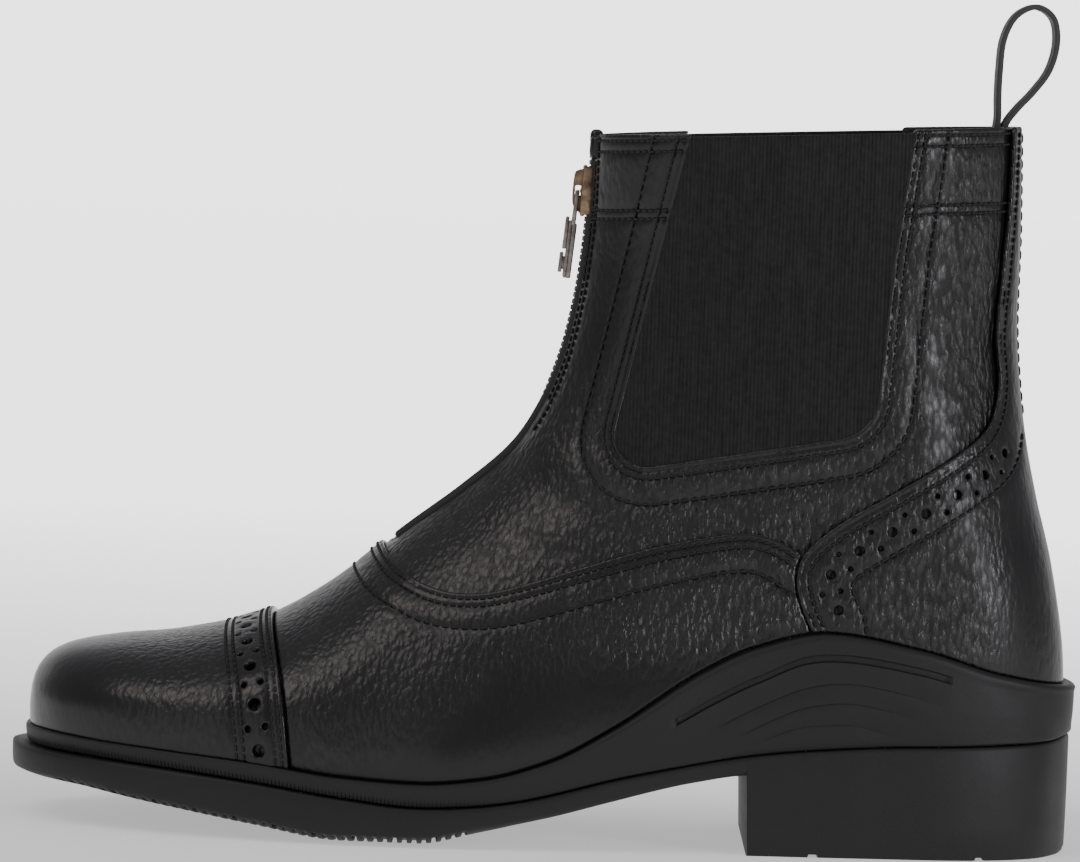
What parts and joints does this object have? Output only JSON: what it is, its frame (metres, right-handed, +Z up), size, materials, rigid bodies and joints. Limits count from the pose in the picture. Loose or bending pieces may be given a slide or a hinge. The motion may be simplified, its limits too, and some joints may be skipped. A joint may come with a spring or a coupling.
{
  "type": "zip-front ankle boot",
  "caption": "Black leather ankle riding boot for the left foot: front zip, elastic side panels, perforated toe cap, heel counter, back loop and a moulded rubber sole with a stacked heel.",
  "frame": {"origin": "centre of the boot's box, on the plane that the sole stands on", "axes": "+Z up, toe along -X, heel along +X, outer side of the foot along -Y"},
  "size_m": [0.2759, 0.0975, 0.2189],
  "materials": {
    "leather": "black tumbled grain, satin",
    "rubber": "black moulded rubber, satin",
    "elastic": "black ribbed elastic",
    "woven": "black woven tape",
    "footbed": "dark footbed cloth",
    "gunmetal": "dark gunmetal plating",
    "brass": "antique brass"
  },
  "bodies": {
    "boot": {"outsole": "rubber", "rand": "rubber", "insole": "footbed", "upper": "leather", "vamp": "leather", "toe_cap": "leather", "counter": "leather", "gore_lateral": "elastic", "gore_medial": "elastic", "zip_tape": "woven", "zip_chain": "gunmetal", "zip_slider": "brass", "pull_loop": "woven"},
    "pull": {"zip_pull": "gunmetal"}
  },
  "joints": [
    {"name": "pull_swing", "type": "hinge", "parent": "boot", "child": "pull", "pos_m": [0.00451, 0, 0.16623], "axis": [0, 1, 0], "range_deg": [-2, 150]}
  ]
}
